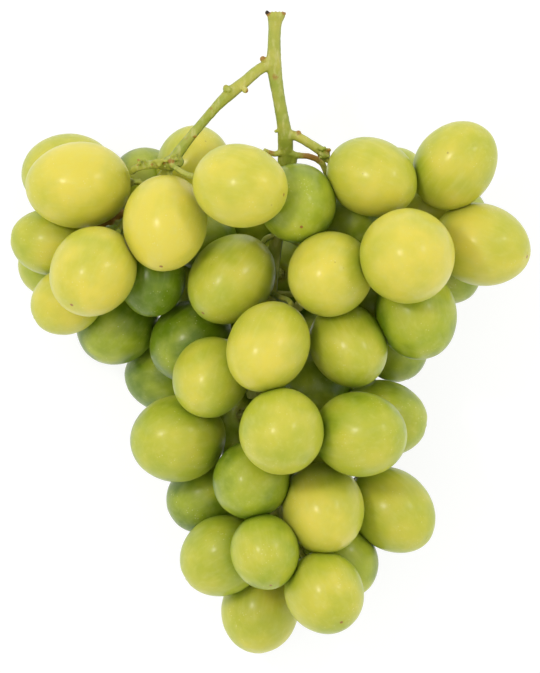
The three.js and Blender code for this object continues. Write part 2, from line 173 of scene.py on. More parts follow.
# %% [markdown]
# ## The stem's course
# The stem is a short tree: a main stem, a branch to each shoulder, and side arms out of
# sight. Each point is x, y, z and radius. The berries have to lie clear of it, so it is
# needed before they are laid down.

# %% Stem table, in millimetres
MAIN_STEM = [
    (1.9, 95.8, 50, 2.8),
    (1.8, 94.2, 50, 2.35),
    (1.6, 91.5, 49.9, 2.0),
    (1.4, 86.5, 49.4, 2.05),
    (1.3, 81.0, 48.6, 2.4),
    (1.7, 77.0, 48.0, 2.25),
    (2.6, 71.5, 47.2, 2.0),
    (3.5, 66.5, 46.4, 2.05),
    (4.4, 61.5, 45.4, 2.2),
    (4.8, 57.5, 43.6, 2.45),
    (4.7, 53.0, 40.4, 2.3),
    (4.3, 46.0, 36.5, 2.3),
    (3.0, 34.0, 33, 2.2),
    (1.0, 20.0, 31, 2.1),
    (0.0, 5.0, 30, 2.0),
    (0.0, -12.0, 29, 1.9),
    (1.0, -30.0, 28, 1.8),
    (3.0, -46.0, 27, 1.6),
    (4.5, -58.0, 26, 1.4),
]

LEFT_BRANCH = [
    (1.2, 81.0, 48.6, 1.9),
    (-3.2, 78.8, 49.2, 1.75),
    (-7.6, 75.0, 50.1, 1.85),
    (-11.6, 71.9, 50.5, 2.0),
    (-15.8, 67.8, 50.4, 1.6),
    (-20.0, 63.0, 50, 1.5),
    (-24.2, 58.0, 49.6, 1.55),
    (-28.6, 52.2, 49, 1.9),
]

RIGHT_BRANCH = [
    (4.6, 59.6, 44.6, 1.8),
    (8.2, 58.9, 45.4, 1.5),
    (12.2, 56.6, 45.4, 1.45),
    (16.0, 54.2, 44.8, 1.6),
]

LEFT_ARM = [
    (-29.4, 50.8, 48.5, 1.6),
    (-34.0, 45.0, 40, 1.4),
    (-41.0, 37.0, 34, 1.4),
    (-47.0, 28.0, 33, 1.3),
    (-49.0, 18.0, 35, 1.2),
    (-48.0, 10.0, 37, 1.0),
]

RIGHT_ARM = [
    (2.6, 31.0, 32.6, 1.7),
    (13.0, 25.0, 34, 1.5),
    (23.0, 20.0, 39, 1.4),
    (33.0, 20.0, 43, 1.3),
    (42.0, 21.0, 42, 1.2),
    (47.0, 24.0, 42, 1.0),
]

LOW_TWIG = [
    (4.7, 54.8, 41.8, 1.2),
    (7.4, 53.4, 42, 1.05),
    (12.2, 52.9, 41.8, 1.0),
    (15.6, 51.2, 41, 1.1),
    (17.0, 48.0, 38.5, 1.0),
    (17.4, 45.5, 35.5, 0.9),
]

SHORT_TWIG = [
    (4.5, 54.4, 41.8, 1.1),
    (1.6, 53.6, 43, 1.0),
    (-1.8, 54.7, 44.2, 0.9),
]

KNOBS = [
    (1.1, 80.8, 48.7, 2.5, 0.95),
    (-29.6, 50.8, 49, 2.5, 1.0),
    (-27.4, 51.2, 49.6, 1.9, 0.9),
    (-32.2, 50.4, 48.8, 1.8, 0.9),
    (4.8, 58.8, 44.2, 2.5, 1.0),
    (16.4, 53.8, 44.9, 1.9, 1.0),
    (-11.8, 72.0, 50.6, 2.2, 1.0),
]
print("main stem points:", len(MAIN_STEM))

# %% [markdown]
# ## Letting the berries settle
# Each berry is treated as a rounded rod. In every round it sinks a little, is drawn to
# its place in the picture, and is pushed out of its neighbours and of the stem. Berries
# of one cluster press into each other and those of two clusters stay just apart. A
# physics simulation would do the same but wouldn't keep the picture's places so well.

# %% Settle the berries
PRESS = 1.6          # mm that berries of one cluster press into each other
APART = 0.8          # mm between berries of two clusters
TWIG_GAP = 0.7       # mm between a berry and the stem
FLAT = 0.4           # mm that the table flattens a berry
ROUNDS = 500
SINK = 0.4           # mm that a berry sinks in the first round
SINK_END = 0.6       # share of the rounds after which nothing sinks
DRAWN = 2.5          # mm over which berries of one cluster draw together
HOMING = 0.03        # share of the way home that a berry goes in a round
TOO_FAR = 34         # mm between two middles past which berries can't touch
LIMB_GIVE = 0.05     # how easily the stem gives way
TO_MIDDLE = (-0.16, 0.42)    # mm that bring the middle of the bunch to the origin


def direction(turn, rise):
    flat = math.cos(math.radians(rise))
    return (math.cos(math.radians(turn)) * flat,
            math.sin(math.radians(turn)) * flat,
            math.sin(math.radians(rise)))


def berry_from(cluster, row):
    place, x, y, z, wide, long, turn, rise = row
    u = direction(turn, rise)
    a, b = long / 2, wide / 2
    give = (0.05, 0.05, 1) if place == IN_SIGHT else (0.3, 0.3, 0.001 if place == FOOT else 1)
    low = math.sqrt((a * u[2]) ** 2 + b * b * (1 - u[2] * u[2]))
    return {"cluster": cluster, "place": place, "home": (x, y), "c": [x, y, z], "u": u,
            "a": a, "b": b, "half": [(a - b) * v for v in u], "give": give, "low": low}


def dot(p, q):
    return p[0] * q[0] + p[1] * q[1] + p[2] * q[2]


def clamp(v):
    return max(-1.0, min(1.0, v))


def between(pc, ph, qc, qh):
    """The shortest way from the core line of q to the core line of p."""
    pp, qq, pq = dot(ph, ph) + 1e-9, dot(qh, qh) + 1e-9, dot(ph, qh)
    gap = (qc[0] - pc[0], qc[1] - pc[1], qc[2] - pc[2])
    gp, gq = dot(gap, ph), dot(gap, qh)
    s = t = 0.0
    for _ in range(3):
        s = clamp((gp + t * pq) / pp)
        t = clamp((s * pq - gq) / qq)
    return [s * ph[k] - gap[k] - t * qh[k] for k in range(3)]


def shift(berry, way, amount):
    for k in range(3):
        berry["c"][k] += amount * berry["give"][k] * way[k]


def settle(berries, limbs):
    for turn in range(ROUNDS):
        part = turn / ROUNDS
        sink = SINK * max(0.0, 1 - part / SINK_END)
        reach = DRAWN if 0.3 < part < 0.95 else 0
        homing = HOMING if part < 0.9 else 0
        for i, one in enumerate(berries):
            c = one["c"]
            c[2] -= sink
            c[0] += homing * (one["home"][0] - c[0])
            c[1] += homing * (one["home"][1] - c[1])
            for two in berries[:i]:
                d = two["c"]
                if (c[0] - d[0]) ** 2 + (c[1] - d[1]) ** 2 + (c[2] - d[2]) ** 2 > TOO_FAR ** 2:
                    continue
                way = between(c, one["half"], d, two["half"])
                far = math.sqrt(dot(way, way))
                same = one["cluster"] == two["cluster"]
                want = one["b"] + two["b"] + (-PRESS if same else APART)
                rate = 0.7 if far < want else (0.3 if same and far < want + reach else 0)
                if rate == 0:
                    continue
                way = [v / far for v in way]
                loose = sum((one["give"][k] + two["give"][k]) * way[k] ** 2 for k in range(3))
                amount = rate * (want - far) / loose
                shift(one, way, amount)
                shift(two, way, -amount)
            for middle, half, r in limbs:
                way = between(c, one["half"], middle, half)
                far = math.sqrt(dot(way, way))
                want = one["b"] + r + TWIG_GAP
                if far < want:
                    way = [v / far for v in way]
                    loose = sum((one["give"][k] + LIMB_GIVE) * way[k] ** 2 for k in range(3))
                    shift(one, way, 0.5 * (want - far) / loose)
            c[2] = max(c[2], one["low"] - FLAT)
            if one["place"] == FOOT:
                c[2] = one["low"] - FLAT


berries = [berry_from(name, row) for name, rows in CLUSTERS.items() for row in rows]
limbs = []
for points in (MAIN_STEM, LEFT_BRANCH, RIGHT_BRANCH, LEFT_ARM, RIGHT_ARM, LOW_TWIG, SHORT_TWIG):
    for p, q in zip(points, points[1:]):
        limbs.append(([(p[k] + q[k]) / 2 for k in range(3)],
                      [(q[k] - p[k]) / 2 for k in range(3)], max(p[3], q[3])))
limbs += [([x, y, z], [0, 0, 0], r) for x, y, z, r, _ in KNOBS]
settle(berries, limbs)
for berry in berries:
    berry["c"][0] += TO_MIDDLE[0]
    berry["c"][1] += TO_MIDDLE[1]
print("top of the bunch in mm:", round(max(b["c"][2] + b["low"] for b in berries), 1))

# %% [markdown]
# ## One master berry
# Every berry is a copy of one, so the master is modelled with care: a ball with its poles
# at the stalk and at the free end. Proportional editing draws the stalk's pole in to a
# shallow pit and raises a faint nub at the free end. It is one unit in radius, because
# each copy is stretched to its own breadth and length. A lathe would do as well, but a
# ball already has its poles closed and its sides even.

# %% Model the master berry
def only(obj):
    """Leaves one object selected and active."""
    if bpy.context.object and bpy.context.object.mode != "OBJECT":
        bpy.ops.object.mode_set(mode="OBJECT")
    bpy.ops.object.select_all(action="DESELECT")
    obj.select_set(True)
    bpy.context.view_layer.objects.active = obj


def pull_pole(obj, top, by, reach):
    """Moves one pole along the axis with proportional editing."""
    only(obj)
    heights = [v.co.z for v in obj.data.vertices]
    pole = heights.index(max(heights) if top else min(heights))
    bpy.ops.object.mode_set(mode="EDIT")
    bpy.ops.mesh.select_mode(type="VERT")
    bpy.ops.mesh.select_all(action="DESELECT")
    bpy.ops.object.mode_set(mode="OBJECT")
    obj.data.vertices[pole].select = True
    bpy.ops.object.mode_set(mode="EDIT")
    bpy.ops.transform.translate(value=(0, 0, by), use_proportional_edit=True,
                                proportional_edit_falloff="SMOOTH", proportional_size=reach)
    bpy.ops.object.mode_set(mode="OBJECT")


AROUND = 64
ALONG = 48

bpy.ops.mesh.primitive_uv_sphere_add(segments=AROUND, ring_count=ALONG, radius=1)
master = bpy.context.object
master.name = "master_berry"
pull_pole(master, top=False, by=0.055, reach=0.34)
pull_pole(master, top=True, by=-0.02, reach=0.30)
pull_pole(master, top=True, by=0.012, reach=0.07)
print("master berry faces:", len(master.data.polygons))

# %% [markdown]
# ## Making it less perfect
# A grape isn't a perfect oval. A soft cloud pattern pushes the skin in and out by about
# one hundredth of the radius, and the stalk's half is a touch fuller than the free end.

# %% Soften the master berry's form
SWELL_WIDE = 0.9     # in radii of the berry, as the next two
SWELL_DEEP = 0.03
STALK_FULLER = 0.022

clouds = bpy.data.textures.new("slow_swell", type="CLOUDS")
clouds.noise_scale = SWELL_WIDE
swell = master.modifiers.new("swell", "DISPLACE")
swell.texture = clouds
swell.strength = SWELL_DEEP
swell.mid_level = 0.5
only(master)
bpy.ops.object.modifier_apply(modifier="swell")
for v in master.data.vertices:
    fuller = 1 - STALK_FULLER * v.co.z
    v.co.x *= fuller
    v.co.y *= fuller
bpy.ops.object.shade_smooth()
rest = np.array([v.co[:] for v in master.data.vertices])
print("master berry spans:", rest.min(0).round(3), rest.max(0).round(3))

# %% [markdown]
# ## How ripe each berry is
# Ripeness was judged from the photograph, berry by berry, from 0 for deep green to
# 1 for golden. Some berries show the brown dot of the flower. Five low berries are a touch
# fuller than their solids, so that their skins meet as they do in the photograph.

# %% Ripeness and fullness of the berries
# The low values of berries deep in the bunch partly hold painted shade: they were set greener and
# darker where shade falls on them.
RIPENESS = {
    "left_berries": (0.93, 0.66, 0.4, 0.68, 0.98, 0.88, 0.6, 0.52, 0.7, 0.26, 0.02, 0.25),
    "upper_berries": (0.52, 0.25, 0.25, 0.25, 0.25, 0.25),
    "right_berries": (0.12, 0.3, 0.9, 0.58, 0.8, 0.9, 0.8, 0.74, 0.72, 0.45, 0.34, 0.35, 0.35,
                      0.6, 0.25, 0.25, 0.25),
    "middle_berries": (0.04, 0.13, 0.82, 0.54, 0.46, 0.58, 0.46, 0.46, 0.15, 0.25, 0.25, 0.25,
                       0.25, 0.25, 0.25),
    "lower_berries": (0.28, 0.22, 0.48, 0.3, 0.38, 0.68, 0.6, 0.78, 0.55, 0.4, 0.25, 0.25, 0.25),
}
SCARRED = {"left_berries": (4, 5, 10), "upper_berries": (0,), "right_berries": (1, 2, 6),
           "middle_berries": (), "lower_berries": (4, 6)}
HIDDEN_SCAR = 0.7    # strength of the brown dot on the berries of the back
FULLER = {("left_berries", 9): 1.05, ("middle_berries", 0): 1.05, ("middle_berries", 1): 1.04,
          ("right_berries", 11): 1.03, ("middle_berries", 7): 1.03}

for (name, index), fuller in FULLER.items():
    berry = [b for b in berries if b["cluster"] == name][index]
    berry["a"] *= fuller
    berry["b"] *= fuller
print("fuller berries:", len(FULLER))

# %% [markdown]
# ## How skins press on each other
# Where two berries press on each other, the one nearer the viewer keeps its round form and
# the other takes the dent, so no straight seams show. At the table the skin is held back
# to a flat spot. A boolean cut would leave a sharp rim in both places. Next to a neighbour
# the skin gets painted shade, greener and darker, so closeness is measured too.

# %% Pressing and shading rules
SKIN_GAP = 0.012     # clear share of the radius between two pressed skins
SOFT_EDGE = 0.25     # mm over which the skin bends at the rim of the flat spot
PAINTED_SHADE_REACH = 2.6    # mm over which a neighbour's painted shade reaches


def axes_of(berry):
    """Turns and stretches the round master into this berry."""
    turned = np.array(Vector((0, 0, 1)).rotation_difference(Vector(berry["u"])).to_matrix())
    return turned @ np.diag((berry["b"], berry["b"], berry["a"]))


def dent(points, other):
    """Pushes points that lie inside another berry out to its skin."""
    form = axes_of(other)
    local = (points - other["c"]) @ np.linalg.inv(form).T
    far = np.linalg.norm(local, axis=1)
    inside = far < 1 + SKIN_GAP
    local[inside] *= ((1 + SKIN_GAP) / far[inside])[:, None]
    points[inside] = local[inside] @ form.T + other["c"]


def hold_back(points, height):
    """Keeps the points above a height, with a soft rim."""
    below = height - points[:, 2]
    near = below > -4 * SOFT_EDGE
    points[near, 2] = height + SOFT_EDGE * np.logaddexp(0, -below[near] / SOFT_EDGE)


def closeness(points, other):
    """One at another berry's skin, falling off over a few millimetres."""
    local = (points - other["c"]) @ np.linalg.inv(axes_of(other)).T
    gap = (np.linalg.norm(local, axis=1) - 1) * other["b"]
    return np.exp(-np.maximum(gap, 0) / PAINTED_SHADE_REACH)


def keep_values(piece, name, values):
    kept = piece.data.attributes.new(name, "FLOAT", "POINT")
    kept.data.foreach_set("value", values)


print("skin gap in mm on a berry of 12 mm radius:", round(12 * SKIN_GAP, 2))

# %% [markdown]
# ## A copy for each berry, each in its place
# Each berry gets a mesh of its own, stretched, spun about its axis and turned to its
# direction, and then pressed. Its ripeness is kept on the mesh together with painted light:
# the side that faces up, towards the lamps, is painted more golden and the rims greener,
# and the stretch next to a neighbour gets painted shade, greener and darker.

# %% Copy and press the berries
TABLE_HEIGHT = 0.02  # mm that the skin stays above the table
NEIGHBOUR = 42       # mm between two middles past which no shade falls
PAINTED_LIGHT_ON_TOP = 0.3          # how much more golden the side that faces up is painted, as painted light
PAINTED_LIGHT_LEVEL = 0.8      # height on the berry, in radii, where the listed ripeness holds
PAINTED_SHADE = 0.24         # how much greener and darker the painted shade makes the skin against a neighbour

draw = random.Random(11)
pieces = {}
for name in CLUSTERS:
    members = [b for b in berries if b["cluster"] == name]
    for index, berry in enumerate(members):
        spin = np.array(Matrix.Rotation(draw.uniform(0, math.tau), 3, "Z"))
        points = rest @ (axes_of(berry) @ spin).T + berry["c"]
        for other in berries:
            if other is not berry and other["c"][2] > berry["c"][2]:
                dent(points, other)
        hold_back(points, TABLE_HEIGHT)
        piece = bpy.data.objects.new(f"{name[:-7]}_berry_{index + 1:02d}", master.data.copy())
        bpy.context.scene.collection.objects.link(piece)
        piece.data.vertices.foreach_set("co", (points * MM).ravel())
        piece.data.update()
        local = piece.data.attributes.new("on_berry", "FLOAT_VECTOR", "POINT")
        local.data.foreach_set("vector", rest.ravel())
        facing = (points[:, 2] - berry["c"][2]) / berry["b"]
        near = [b for b in berries if b is not berry and math.dist(b["c"], berry["c"]) < NEIGHBOUR]
        painted_shade = np.max([closeness(points, other) for other in near], axis=0)
        ripeness_with_painted_light = RIPENESS[name][index] + PAINTED_LIGHT_ON_TOP * (facing - PAINTED_LIGHT_LEVEL) - PAINTED_SHADE * painted_shade
        keep_values(piece, "ripeness_with_painted_light", ripeness_with_painted_light)
        keep_values(piece, "chance", [draw.random()] * len(rest))
        hidden = berry["place"] != IN_SIGHT
        scarred = 1.0 if index in SCARRED[name] else (HIDDEN_SCAR if hidden else 0.0)
        keep_values(piece, "scarred", [scarred] * len(rest))
        pieces[piece] = name
bpy.data.objects.remove(master)
print("berries made:", len(pieces))

# %% [markdown]
# ## The stalk's collar on each berry
# A stalk ends in a small warty collar that sits in the berry's pit. One collar is a short
# cone with its rim pushed out and in, and each berry gets a copy. It could be melted into
# the stem instead, but as a piece of its own it keeps its fine warts.

# %% Model the collars
NARROW = 1.05        # mm, as are all the sizes here
WIDE = 1.9
TALL = 1.9
ROUND_EDGE = 0.35
WART = 0.55
WART_TALL = 0.7
SEAT = 0.945         # share of the berry's half length where the pit's floor lies
STANDS_OUT = 0.75

bpy.ops.mesh.primitive_cone_add(vertices=20, radius1=NARROW, radius2=WIDE, depth=TALL)
collar = bpy.context.object
only(collar)
bpy.ops.object.mode_set(mode="EDIT")
bpy.ops.mesh.select_all(action="SELECT")
bpy.ops.mesh.bevel(offset=ROUND_EDGE, segments=3, affect="EDGES")
bpy.ops.object.mode_set(mode="OBJECT")
warts = bpy.data.textures.new("warts", type="CLOUDS")
warts.noise_scale = WART
rough = collar.modifiers.new("rough", "DISPLACE")
rough.texture = warts
rough.strength = WART_TALL
bpy.ops.object.modifier_apply(modifier="rough")
bpy.ops.object.shade_smooth()
collar_rest = np.array([v.co[:] for v in collar.data.vertices])
collars = []
for berry in berries:
    turned = Vector((0, 0, 1)).rotation_difference(Vector(berry["u"])).to_matrix()
    spin = Matrix.Rotation(draw.uniform(0, math.tau), 3, "Z")
    seat = np.array(berry["c"]) - np.array(berry["u"]) * (berry["a"] * SEAT + STANDS_OUT)
    points = collar_rest @ np.array(turned @ spin).T + seat
    piece = bpy.data.objects.new(f"collar_{len(collars) + 1:02d}", collar.data.copy())
    bpy.context.scene.collection.objects.link(piece)
    piece.data.vertices.foreach_set("co", (points * MM).ravel())
    piece.data.update()
    collars.append(piece)
bpy.data.objects.remove(collar)
print("collars made:", len(collars))

# %% [markdown]
# ## A copy of the solid stem
# The solid stem is a set of straight-sided rods. A copy of it is the start of the fine
# stem, and the solid itself is left alone. Modelling each fork by hand would give the same
# form with much more work, and this keeps every stalk in its place.

# %% Copy the solid stem
stem = nodes["stem"].copy()
stem.data = nodes["stem"].data.copy()
stem.parent = None
stem.name = "stem_skin"
for key in list(stem.keys()):
    del stem[key]
bpy.context.scene.collection.objects.link(stem)
only(stem)
bpy.ops.object.mode_set(mode="EDIT")
bpy.ops.mesh.select_all(action="SELECT")
bpy.ops.mesh.remove_doubles(threshold=0.01 * MM)
bpy.ops.object.mode_set(mode="OBJECT")

print("points of the solid stem:", len(stem.data.vertices))

# %% [markdown]
# ## Swellings, buds and the torn cut
# Small balls stand where the stem is warty, at the buds, round the torn rim of the cut and
# as dried bits of stalk in a gap at the left, browned to near black as painted shade for
# that gap. They are melted into the stem in the next step. Sculpting would do as well, but
# a list can be read and changed.

# %% Add the swellings
# x, y, z, half width, half height and number of the warts in a patch, in mm
WARTY = [(-33.0, 50.7, 50.6, 6.8, 1.2, 52), (-28.4, 52.2, 50.6, 1.4, 1.4, 12),
         (16.6, 54.0, 45.8, 1.6, 1.6, 14), (-12.3, 72.4, 51.5, 1.2, 0.8, 5)]
# x, y, z and radius, as in the lists below
BUDS = [(-2.0, 82.0, 50.4, 1.0), (8.7, 59.9, 46.2, 0.9), (-13.0, 73.4, 52.0, 1.0),
        (-7.2, 72.6, 52.2, 1.0), (-22.2, 58.9, 51.3, 0.6), (1.9, 60.4, 46.0, 0.6)]
TORN = [(-0.7, 95.8, 50.9, 0.75), (-0.8, 96.1, 51.5, 0.6), (4.5, 95.6, 51.0, 0.6)]
DRIED_SHADE_BITS = [(-45.0, 35.9, 28.0, 1.7), (-46.4, 34.9, 27.5, 1.3), (-49.0, 33.6, 27.5, 1.3),
         (-50.4, 32.7, 27.0, 1.4), (-51.6, 32.3, 26.6, 1.1)]
CUT = (1.9, 95.2, 50.0)
RIM = 2.3            # radius of the torn rim
RIM_LUMPS = 12
RIM_LUMP = 0.62
COLLAR_DOWN = 1.2    # how far below the rim its narrower ring lies
COLLAR_SHARE = 0.85

grown = []


def lump(x, y, z, r, stretch=(1, 1, 1)):
    """A small swelling to melt into the stem."""
    middle = ((x + TO_MIDDLE[0]) * MM, (y + TO_MIDDLE[1]) * MM, z * MM)
    bpy.ops.mesh.primitive_ico_sphere_add(subdivisions=2, radius=r * MM, location=middle)
    bump = bpy.context.object
    bump.scale = stretch
    bpy.ops.object.transform_apply(location=True, rotation=True, scale=True)
    grown.append(bump)


for cx, cy, cz, wide, tall, count in WARTY:
    for _ in range(count):
        lump(cx + draw.uniform(-1, 1) * wide, cy + draw.uniform(-1, 1) * tall,
             cz + draw.uniform(-0.4, 1.2) * 1.5, draw.uniform(0.35, 0.75))
for x, y, z, r in BUDS:
    lump(x, y, z, r)
for step in range(RIM_LUMPS):
    turn = math.tau * step / RIM_LUMPS
    out, up = RIM * math.cos(turn), RIM * math.sin(turn)
    lump(CUT[0] + out, CUT[1] + draw.uniform(-0.3, 0.2), CUT[2] + up, RIM_LUMP,
         stretch=(1, draw.uniform(1.3, 2.0), 1))
    lump(CUT[0] + COLLAR_SHARE * out, CUT[1] - COLLAR_DOWN, CUT[2] + COLLAR_SHARE * up, 0.6)
for x, y, z, r in TORN + DRIED_SHADE_BITS:
    lump(x, y, z, r)
print("swellings:", len(grown))

# %% [markdown]
# ## Melting it into one skin
# A voxel remesh melts the rods and swellings into one skin. Smoothing takes the flat sides
# away, and a fine cloud pattern roughens the skin like bark. Subdividing the rods would
# keep their corners at every fork.

# %% Melt, smooth and roughen the stem
VOXEL = 0.3 * MM
SMOOTHINGS = 7
BARK_WIDE = 1.6 * MM
BARK_DEEP = 0.16 * MM

only(stem)
for bump in grown:
    bump.select_set(True)
bpy.ops.object.join()
remesh = stem.modifiers.new("skin", "REMESH")
remesh.mode = "VOXEL"
remesh.voxel_size = VOXEL
bpy.ops.object.modifier_apply(modifier="skin")
even = stem.modifiers.new("even", "SMOOTH")
even.factor = 0.5
even.iterations = SMOOTHINGS
bpy.ops.object.modifier_apply(modifier="even")
bark = bpy.data.textures.new("bark", type="CLOUDS")
bark.noise_scale = BARK_WIDE
grain = stem.modifiers.new("grain", "DISPLACE")
grain.texture = bark
grain.texture_coords = "LOCAL"
grain.strength = BARK_DEEP
bpy.ops.object.modifier_apply(modifier="grain")
bpy.ops.object.shade_smooth()
print("stem faces:", len(stem.data.polygons))

# %% [markdown]
# ## Where the stem has browned
# The cut end, bud scars and warts are brown and the rest is green, with painted shade in
# deeper green along the sides. Each scar has a place and a reach, and how brown the skin
# is there, and how far it faces sideways, are kept on the mesh for the material.

# %% Mark the scars on the stem
# x, y, z and reach in mm, and strength, where more than 1 turns black
SCARS = [
    (2.6, 97.5, 50.8, 2.0, 1.0),
    (-0.7, 96.3, 51.4, 1.2, 2.4),
    (4.4, 96.1, 51.2, 1.0, 1.3),
    (-2.2, 82.4, 50.9, 1.3, 1.0),
    (1.6, 76.4, 50.6, 1.3, 0.9),
    (2.9, 70.0, 49.6, 1.0, 0.4),
    (-13.4, 74.2, 52.6, 0.9, 0.5),
    (-6.4, 72.3, 52.7, 0.9, 1.0),
    (-17.4, 67.2, 51.6, 1.0, 0.5),
    (-25.0, 58.4, 51.0, 1.0, 0.45),
    (-22.2, 58.4, 51.6, 0.9, 0.9),
    (8.9, 60.6, 46.8, 1.4, 0.9),
    (12.5, 52.8, 42.8, 3.6, 0.95),
    (17.6, 54.4, 47.2, 1.3, 0.8),
    (0.6, 54.4, 44.4, 1.6, 0.7),
]
KNUCKLE_SCARS = 26
DRIED_SHADE_REACH = 2.2
DRIED_SHADE_DARKNESS = 1.5

for _ in range(KNUCKLE_SCARS):
    SCARS.append((-33.0 + draw.uniform(-1, 1) * 7.5, 51.2 + draw.uniform(-1, 1) * 1.6,
                  51.6 + draw.uniform(-1, 1), draw.uniform(0.35, 0.75), draw.uniform(0.5, 1.2)))
# The dried bits are browned past 1, to near black, as painted shade in the gap at the left.
SCARS += [(x, y, z, DRIED_SHADE_REACH, DRIED_SHADE_DARKNESS) for x, y, z, _ in DRIED_SHADE_BITS]
skin = np.array([v.co[:] for v in stem.data.vertices]) / MM - np.array((*TO_MIDDLE, 0))
brown = np.zeros(len(skin))
for x, y, z, reach, strength in SCARS:
    away = np.linalg.norm(skin - np.array((x, y, z)), axis=1)
    brown = np.maximum(brown, strength * np.exp(-(away / reach) ** 2))
keep_values(stem, "browned", brown)
# How far the skin faces sideways, for the painted shade along the stem's sides.
keep_values(stem, "side_shade", [1 - abs(v.normal.z) for v in stem.data.vertices])
print("browned part of the stem:", round(float((brown > 0.3).mean()), 3))

# %% [markdown]
# ## Helpers for the materials
# Colours are written as they look on a screen and turned to linear light by one function,
# and one short function adds a node, sets its values and joins its inputs.

# %% Colour and node helpers
def colour(code):
    """A screen colour such as "AABBCC" as linear light."""
    parts = [int(code[k:k + 2], 16) / 255 for k in (0, 2, 4)]
    return tuple(c / 12.92 if c <= 0.04045 else ((c + 0.055) / 1.055) ** 2.4 for c in parts) + (1,)


def node(tree, kind, values=None, **settings):
    """Adds a node; a value that is a socket is joined, any other is set."""
    made = tree.nodes.new(kind)
    for key, value in settings.items():
        setattr(made, key, value)
    for key, value in (values or {}).items():
        if isinstance(value, bpy.types.NodeSocket):
            tree.links.new(value, made.inputs[key])
        else:
            made.inputs[key].default_value = value
    return made


def new_material(name):
    made = bpy.data.materials.new(name)
    made.use_nodes = True
    made.node_tree.nodes.clear()
    return made, made.node_tree


def maths(tree, operation, a, b):
    return node(tree, "ShaderNodeMath", {0: a, 1: b}, operation=operation).outputs[0]


def blend(tree, amount, first, second):
    made = node(tree, "ShaderNodeMix", {0: amount, 6: first, 7: second}, data_type="RGBA")
    return made.outputs[2]


def span(tree, value, low, high, to_low=0.0, to_high=1.0):
    made = node(tree, "ShaderNodeMapRange", {0: value, 1: low, 2: high, 3: to_low, 4: to_high})
    return made.outputs[0]


print("deep green in linear light:", [round(c, 3) for c in colour("6A840A")[:3]])

# %% [markdown]
# ## Patterns in real sizes
# The scale of each pattern is worked out from a real size in millimetres. Noise gives
# patches and scattered points give dots. Painted pictures would do both, but they would
# have to be laid on every berry.

# %% Pattern helpers
def cells(size):
    """The scale of a pattern whose features are this many millimetres apart."""
    return 1 / (size * MM)


def attribute(tree, name, output="Fac"):
    return node(tree, "ShaderNodeAttribute", attribute_name=name).outputs[output]


def noise(tree, place, scale, detail=2.0):
    values = {"Vector": place, "Scale": scale, "Detail": detail}
    return node(tree, "ShaderNodeTexNoise", values).outputs["Fac"]


def from_points(tree, place, scale):
    """How far away the nearest of many scattered points is."""
    values = {"Vector": place, "Scale": scale}
    return node(tree, "ShaderNodeTexVoronoi", values).outputs["Distance"]


def stretched(tree, place, scale):
    return node(tree, "ShaderNodeMapping", {0: place, "Scale": scale}).outputs[0]


def from_spot(tree, place, spot):
    values = {0: place, 1: spot}
    return node(tree, "ShaderNodeVectorMath", values, operation="DISTANCE").outputs["Value"]


print("scale of a pattern of 10 mm:", round(cells(10)))

# %% [markdown]
# ## Flesh and ripeness
# Under the skin lies pale green flesh, golden where it is ripe. Its ripeness value also
# carries painted light, more golden where the skin faces up, and painted shade, deep green
# next to a neighbour. Soft patches break up the colour, and faint veins run from the stalk
# to the free end. Each berry draws its veins from another place in the noise.

# %% Flesh colour
PATCH = 16.13        # mm between golden and green patches
CLOUD = 5.88         # mm between the clouds inside a patch
VEINS = (9.0, 9.0, 0.9)      # veins in a radius, along the three axes of a berry
# The deep green at 0 is also the colour that the painted shade reaches.
RIPE_AND_SHADE_COLOURS = ((0.0, "6A840A"), (0.3, "A8B430"), (0.6, "C2C242"), (1.0, "DFD256"))


def ripe_and_shade_colour(tree, ripe_with_painted_light):
    ramp = node(tree, "ShaderNodeValToRGB", {0: ripe_with_painted_light})
    stops = ramp.color_ramp.elements
    stops[0].color = colour(RIPE_AND_SHADE_COLOURS[0][1])
    stops[1].color = colour(RIPE_AND_SHADE_COLOURS[-1][1])
    for position, code in RIPE_AND_SHADE_COLOURS[1:-1]:
        stops.new(position).color = colour(code)
    return ramp.outputs[0]


def flesh_colour(tree, place, on_berry):
    """Green to golden by ripeness, with painted light and shade, in soft patches, with faint veins.
    """
    patch = span(tree, noise(tree, place, cells(PATCH)), 0.3, 0.7, -0.2, 0.2)
    cloud = span(tree, noise(tree, place, cells(CLOUD), 3.0), 0.3, 0.7, -0.08, 0.08)
    ripe_with_painted_light = maths(tree, "ADD", attribute(tree, "ripeness_with_painted_light"), maths(tree, "ADD", patch, cloud))
    own = {0: stretched(tree, on_berry, VEINS), 1: attribute(tree, "chance")}
    moved = node(tree, "ShaderNodeVectorMath", own, operation="ADD").outputs[0]
    vein = span(tree, noise(tree, moved, 1.0, 3.0), 0.5, 0.78, 0.0, 0.24)
    showing = maths(tree, "MULTIPLY", vein, span(tree, ripe_with_painted_light, 0.1, 0.6, 0.35, 1.0))
    return blend(tree, showing, ripe_and_shade_colour(tree, ripe_with_painted_light), colour("DAD878"))


print("ripeness colours:", len(RIPE_AND_SHADE_COLOURS))

# %% [markdown]
# ## Pores
# Real skin has tiny pale pores that stand a little proud. A real pore is finer than a dot
# of the picture, so each is drawn about as wide as one, just coarse enough to show. A noise
# pattern keeps them to loose fields, as even pores all over would look printed.

# %% Pores
PORES = 1.111        # mm between pores
PORE_FIELD = 5.88    # mm between the places that have pores


def speckled(tree, place, base):
    """Adds pale pores; also returns how raised they are."""
    pore = span(tree, from_points(tree, place, cells(PORES)), 0.09, 0.22, 1.0, 0.0)
    here = span(tree, noise(tree, place, cells(PORE_FIELD)), 0.54, 0.64)
    pore = maths(tree, "MULTIPLY", pore, here)
    return blend(tree, maths(tree, "MULTIPLY", pore, 0.4), base, colour("E6E4A8")), pore


print("mm between pores:", PORES)

